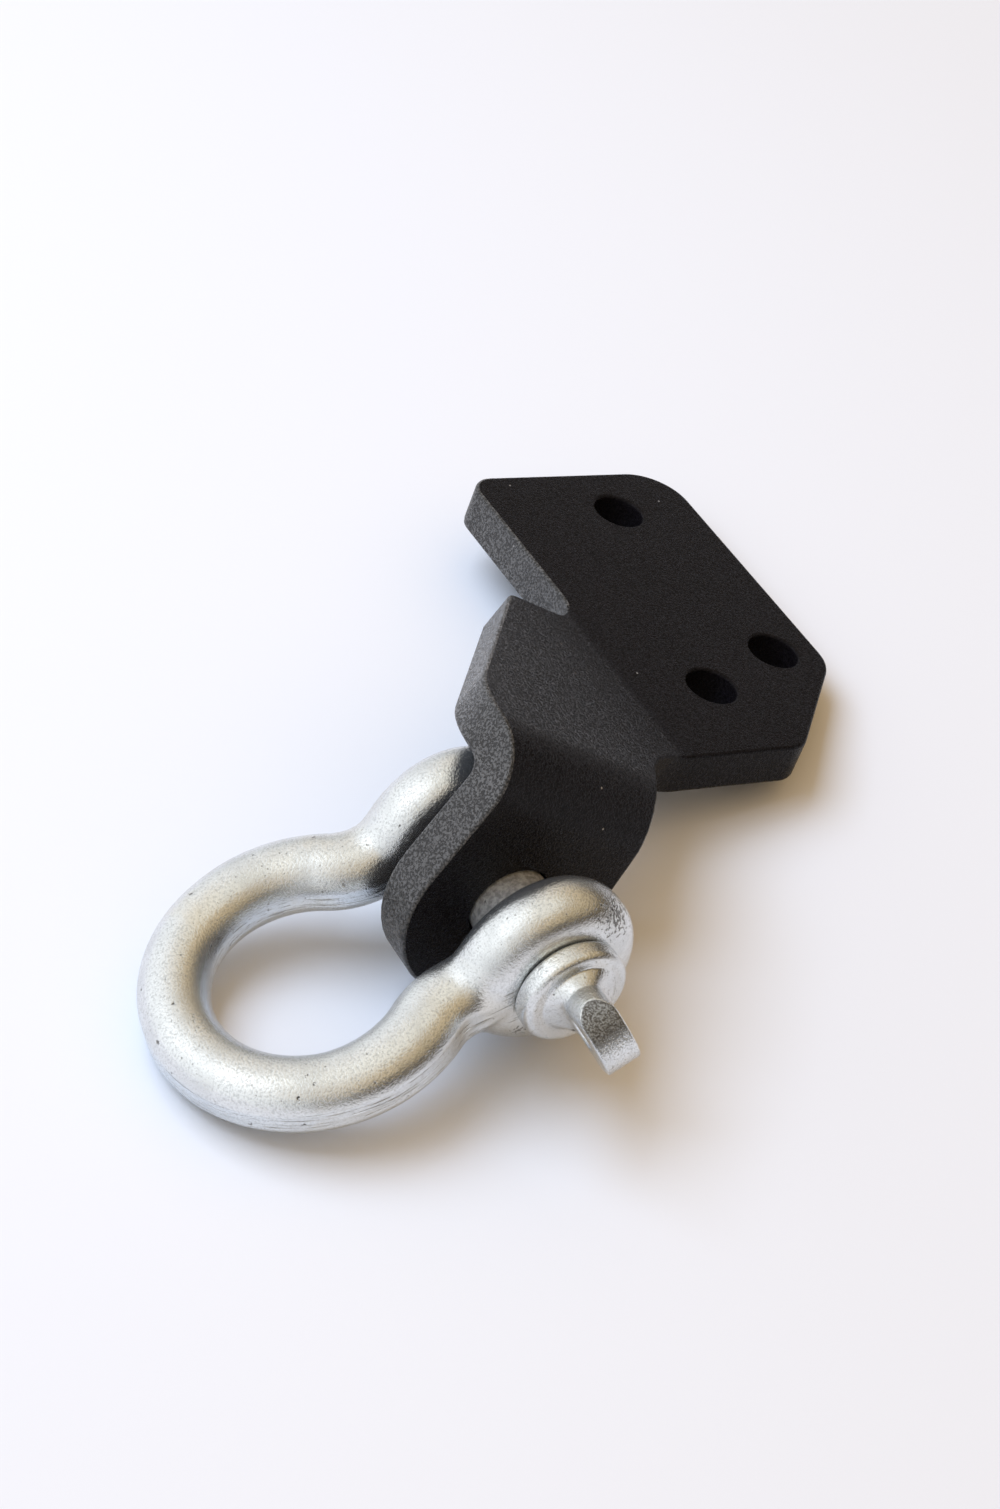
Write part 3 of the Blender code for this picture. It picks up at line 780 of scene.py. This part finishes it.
def buildThread(material):
    tree = threadTree()
    thread = meshObject("pin_thread", bmesh.new())
    grow = thread.modifiers.new("thread", "NODES")
    grow.node_group = tree
    depth = pin["threadDepth"] + pin["threadSink"]
    values = {
        "Turns": (pin["threadLength"] - 2 * pin["threadEnds"]) / pin["threadPitch"],
        "Radius": pin["shank"] - depth / 2,
        "Pitch": pin["threadPitch"],
        "Depth": depth,
        "Foot Share": pin["threadFoot"],
        "Crest Share": pin["threadCrest"],
        "Material": material,
    }
    for item in tree.interface.items_tree:
        if item.in_out == "INPUT":
            grow[item.identifier] = values[item.name]
    applyModifiers(thread)
    start = pinAxis + Vector((-earOuter + pin["threadEnds"], 0.0, 0.0))
    thread.data.transform(Matrix.Translation(start) @ Matrix.Rotation(pi / 2, 4, "Y"))
    bm = bmesh.new()
    bm.from_mesh(thread.data)
    bmesh.ops.recalc_face_normals(bm, faces=bm.faces)
    bm.to_mesh(thread.data)
    bm.free()
    finishMesh(thread, "pin", "shackle_pin", "galvanised_pin", material)


def tabHalfThickness(x):
    # A hollow root thins from the round neck to the flat paddle
    flat = head["tabThickness"] / 2
    if x >= head["rootLength"]:
        return flat
    return flat + (head["rootRadius"] - flat) * (1 - sin(pi / 2 * max(0.0, x) / head["rootLength"]))


def blankHalfWidth(x):
    # The forging before its rim is trimmed: round root, waist, then wider outwards
    waist = head["waistRadius"]
    if x < head["waistAt"]:
        share = sin(pi / 2 * max(0.0, x) / head["waistAt"])
        return head["rootRadius"] + (waist - head["rootRadius"]) * share
    grown = (x - head["waistAt"]) / (head["blankReach"] - head["waistAt"])
    return waist + (head["blankRadius"] - waist) * grown


def tabHalfWidths(x, t):
    # Half the width at x from the collar and t from the middle plane, forged and trimmed
    rim = tabHalfThickness(x)
    rounded = sqrt(max(0.0, rim * rim - t * t)) - rim
    past = max(0.0, x - tabCentre)
    disc = sqrt(max(0.0, (head["blankRadius"] + rounded) ** 2 - past * past))
    trimmed = sqrt(max(0.0, head["tabRadius"] ** 2 - past * past))
    return min(blankHalfWidth(x) + rounded, disc), trimmed


def tabRing(x):
    thickest = tabHalfThickness(x)
    past = x - tabCentre - (head["blankRadius"] - thickest)
    if past > 0.0:
        thickest = sqrt(thickest * thickest - past * past)
    levels = head["tabLevels"]
    ts = [head["tabLevelEnd"] * thickest * cos(pi * k / levels) for k in range(levels + 1)]
    upper = [(t, min(tabHalfWidths(x, t))) for t in ts]
    return upper + [(t, -w) for t, w in reversed(upper)]


def eyeShape(faceX):
    r, edge, half = head["eyeRadius"], head["eyeChamfer"], head["tabThickness"] / 2
    top, low = half - head["tabOffset"], -half - head["tabOffset"]
    beyond, flare = head["eyeFlare"]
    profile = [(low - beyond, 0.0), (low - beyond, r + flare), (low, r + edge), (low + edge, r)]
    profile += [(top - edge, r), (top, r + edge), (top + beyond, r + flare), (top + beyond, 0.0)]
    stand = Matrix.Translation((faceX + tabCentre, 0, 0)) @ Matrix.Rotation(-pi / 2, 4, "Y")
    return meshObject("eye_shape", spun(profile, head["eyeSteps"], stand))


def buildTab(faceX):
    inner, outer = head["tabSteps"]
    xs = [-head["rootSink"]] + [tabCentre * k / inner for k in range(inner)]
    xs += [tabCentre + head["tabRadius"] * sin(head["tabEnd"] * k / outer) for k in range(outer + 1)]
    bm = bmesh.new()
    rings = []
    for x in xs:
        rings.append([bm.verts.new((faceX + x, w, t - head["tabOffset"])) for t, w in tabRing(x)])
    joinRings(bm, rings)
    closeEnds(bm, rings)
    tab = meshObject("tab_shape", bm)
    eye = eyeShape(faceX)
    addBoolean(tab, eye, "DIFFERENCE")
    applyModifiers(tab)
    bpy.data.objects.remove(eye, do_unlink=True)
    tab.data.transform(Matrix.Rotation(head["tabTurn"], 4, "X"))
    return tab


def markTrimmedRim(mesh, faceX):
    # Where the round rim was sheared off, the steel is rough and darker
    mark = mesh.attributes.new("trimmed", "FLOAT", "POINT")
    back = Matrix.Rotation(-head["tabTurn"], 4, "X")
    start, end = head["markEnds"]
    for index, vert in enumerate(mesh.vertices):
        spot = back @ vert.co
        x, w, t = spot.x - faceX, abs(spot.y), spot.z + head["tabOffset"]
        forgedWidth, trimmed = tabHalfWidths(x, t)
        past = max(0.0, x - tabCentre)
        atRim = (hypot(past, w) - head["tabRadius"]) / head["markEase"] + head["markLead"]
        cutOff = (forgedWidth - trimmed) / head["markEase"]
        side = 1.0 - max(0.0, x - start) / (end - start)
        mark.data[index].value = max(0.0, min(1.0, atRim, cutOff, side))


def arc(cx, cr, radius, start, end, steps):
    turns = [start + (end - start) * k / steps for k in range(steps + 1)]
    return [(cx + radius * cos(turn), cr + radius * sin(turn)) for turn in turns]


def buildHead(material):
    near = earOuter + pin["gap"]
    face = near + head["collarThickness"]
    rim, radius = head["collarRound"], head["collarRadius"]
    # The outer edge of the collar is fully rounded, the edge at the ear half as much
    profile = [(near, 0.0), (near, radius - rim / 2)]
    profile += arc(near + rim / 2, radius - rim / 2, rim / 2, pi, pi / 2, steps=8)[1:]
    profile += arc(face - rim, radius - rim, rim, pi / 2, 0, steps=12)
    profile.append((face, 0.0))
    forging = meshObject("pin_head", spun(profile, head["collarSteps"], Matrix.Identity(4)))
    tab = buildTab(face)
    addBoolean(forging, tab, "UNION")
    skin = forging.modifiers.new("forged skin", "REMESH")
    skin.mode = "VOXEL"
    skin.voxel_size = head["voxel"]
    soften = forging.modifiers.new("soften", "SMOOTH")
    soften.factor, soften.iterations = head["softening"]
    applyModifiers(forging)
    bpy.data.objects.remove(tab, do_unlink=True)
    markTrimmedRim(forging.data, face)
    forging.data.transform(Matrix.Translation(pinAxis))
    forging.data.shade_smooth()
    finishMesh(forging, "pin", "shackle_pin", "galvanised_pin", material)


faceMaterial = makePowderCoat("face")
# The cut edges' lighter coat is painted light
paintedLitEdgeMaterial = makePowderCoat("paintedLitEdge")
bowMaterial = makeZinc("zinc_bow", scored=True)
headMaterial = makeZinc("zinc_pin_head", sheared=True)
shankMaterial = makeZinc("zinc_pin_shank", stained=True)
print("finishes made")
dressBracket(faceMaterial, paintedLitEdgeMaterial)
print("bracket dressed")
buildBow(bowMaterial)
print("bow lofted and drilled")
buildShank(shankMaterial)
buildThread(shankMaterial)
buildHead(headMaterial)
print("pin built")


# Floor, light and camera

studio = {
    "floor": (0.805, 0.840, 0.895),
    "floorRadius": 4.0,
    "floorLevel": -0.0002,
    "floorRoughness": 0.75,
    "floorSpecular": 0.15,
    "floorEnds": (0.45, 1.00),
    "backdrop": (0.93, 0.935, 0.965),
    "dark": (0.032, 0.028, 0.025),
    "mirroredWall": (0.60, 0.46, 0.27),
    "mirroredCool": (1.17, 1.19, 1.20),
    "zenith": (0.97, 0.92, 0.81),
    "hot": (1.60, 1.62, 1.62),
    "litWall": (0.88, 0.58, 0.27),
    "litCool": (0.66, 0.66, 0.66),
    "raisedEnds": (0.25, 0.62),
    "lowSideEnds": (-0.65, 0.98),
    "highSideEnds": (-0.50, 0.85),
    "zenithEnds": (0.82, 0.97),
    "hotPlace": (0.66, -0.10, 0.74),  # towards the left, away and up
    "hotEnds": (0.90, 0.985),
    "window": (0.66, 0.79, 1.0),
    "windowPower": 21.5,
    "windowSize": (1.3, 1.0),
    "windowPlace": (1.0, 0.25, 1.75),  # towards the left, away and up
    "windowDistance": 1.5,
    "lens": 76.05,
    "cameraPlace": (0.52466, -0.35699, 0.60469),
    "cameraTurn": (47.455, -6.549, 61.635),
}


def inRoom(left, away, up):
    return (cameraLeft * left + cameraAway * away + Vector((0.0, 0.0, up))).normalized()


def makeFloor():
    bm = bmesh.new()
    bmesh.ops.create_circle(bm, cap_ends=True, segments=96, radius=studio["floorRadius"])
    floor = meshObject("floor", bm)
    floor.location.z = studio["floorLevel"]
    material, tree, shader = newMaterial("pale_table")
    shader.inputs["Base Color"].default_value = (*studio["floor"], 1.0)
    shader.inputs["Roughness"].default_value = studio["floorRoughness"]
    shader.inputs["Specular IOR Level"].default_value = studio["floorSpecular"]
    # Away from the part the table runs into the pale backdrop, for the camera alone
    point = addNode(tree, "ShaderNodeTexCoord", (0, 500)).outputs["Object"]
    away = addNode(tree, "ShaderNodeVectorMath", (200, 500), {0: point}, operation="LENGTH")
    far = addRange(tree, (400, 500), away.outputs["Value"], studio["floorEnds"])
    seen = addNode(tree, "ShaderNodeLightPath", (200, 900)).outputs["Is Camera Ray"]
    far = addMath(tree, (600, 600), "MULTIPLY", far, seen)
    pale = addNode(tree, "ShaderNodeEmission", (900, 250), {"Color": (*studio["backdrop"], 1.0)})
    inputs = {"Fac": far, 1: shader.outputs["BSDF"], 2: pale.outputs["Emission"]}
    blend = addNode(tree, "ShaderNodeMixShader", (1200, 200), inputs)
    output = tree.nodes["Material Output"]
    output.location = (1400, 200)
    tree.links.new(blend.outputs["Shader"], output.inputs["Surface"])
    floor.data.materials.append(material)


def makeWorld():
    world = bpy.data.worlds.new("room")
    bpy.context.scene.world = world
    world.use_nodes = True
    tree = world.node_tree
    direction = addNode(tree, "ShaderNodeTexCoord", (-1400, 0)).outputs["Generated"]

    def facing(place, vector):
        inputs = {0: direction, 1: vector}
        node = addNode(tree, "ShaderNodeVectorMath", place, inputs, operation="DOT_PRODUCT")
        return node.outputs["Value"]

    # A cool window wall on the left; on the right a warm wall over a dark low part
    height = facing((-1100, 0), Vector((0.0, 0.0, 1.0)))
    side = facing((-1100, 300), cameraLeft)
    pane = facing((-1100, 900), inRoom(*studio["hotPlace"]))
    raised = addRange(tree, (-800, 0), height, studio["raisedEnds"])
    lowSide = addRange(tree, (-800, 300), side, studio["lowSideEnds"])
    highSide = addRange(tree, (-800, 600), side, studio["highSideEnds"])
    hot = addRange(tree, (-800, 900), pane, studio["hotEnds"])
    top = addRange(tree, (-250, 1100), height, studio["zenithEnds"])

    def room(wall, cool, y):
        low = addMix(tree, (-500, y), lowSide, studio["dark"], cool)
        high = addMix(tree, (-500, y + 250), highSide, wall, cool)
        return addMix(tree, (-250, y), raised, low, high)

    # The room that the metal mirrors is brighter than the one that lights the table
    mirrored = room(studio["mirroredWall"], studio["mirroredCool"], 600)
    mirrored = addMix(tree, (-50, 900), top, mirrored, studio["zenith"])
    mirrored = addMix(tree, (100, 700), hot, mirrored, studio["hot"])
    lit = room(studio["litWall"], studio["litCool"], 0)
    path = addNode(tree, "ShaderNodeLightPath", (0, 1100)).outputs
    colour = addMix(tree, (250, 300), path["Is Glossy Ray"], lit, mirrored)
    colour = addMix(tree, (400, 500), path["Is Camera Ray"], colour, studio["backdrop"])
    background = tree.nodes["Background"]
    background.inputs["Strength"].default_value = 1.0
    background.location = (500, 300)
    tree.links.new(colour, background.inputs["Color"])
    tree.nodes["World Output"].location = (750, 300)


def makeWindow():
    data = bpy.data.lights.new("window", "AREA")
    data.shape = "RECTANGLE"
    data.size, data.size_y = studio["windowSize"]
    data.energy = studio["windowPower"]
    data.color = studio["window"]
    lamp = bpy.data.objects.new("window", data)
    direction = inRoom(*studio["windowPlace"])
    lamp.location = direction * studio["windowDistance"]
    lamp.rotation_euler = (-direction).to_track_quat("-Z", "Y").to_euler()
    lamp.visible_glossy = False  # the room's own bright side is what the metal mirrors
    bpy.context.scene.collection.objects.link(lamp)


def makeCamera():
    data = bpy.data.cameras.new("view")
    data.sensor_width = 36.0
    data.lens = studio["lens"]
    data.clip_start = 0.01
    camera = bpy.data.objects.new("view", data)
    turn = Euler([radians(angle) for angle in studio["cameraTurn"]])
    camera.matrix_world = Matrix.LocRotScale(Vector(studio["cameraPlace"]), turn, None)
    bpy.context.scene.collection.objects.link(camera)
    bpy.context.scene.camera = camera


makeFloor()
makeWorld()
makeWindow()
makeCamera()
bpy.context.scene.view_settings.view_transform = "Standard"
print("light and camera set")
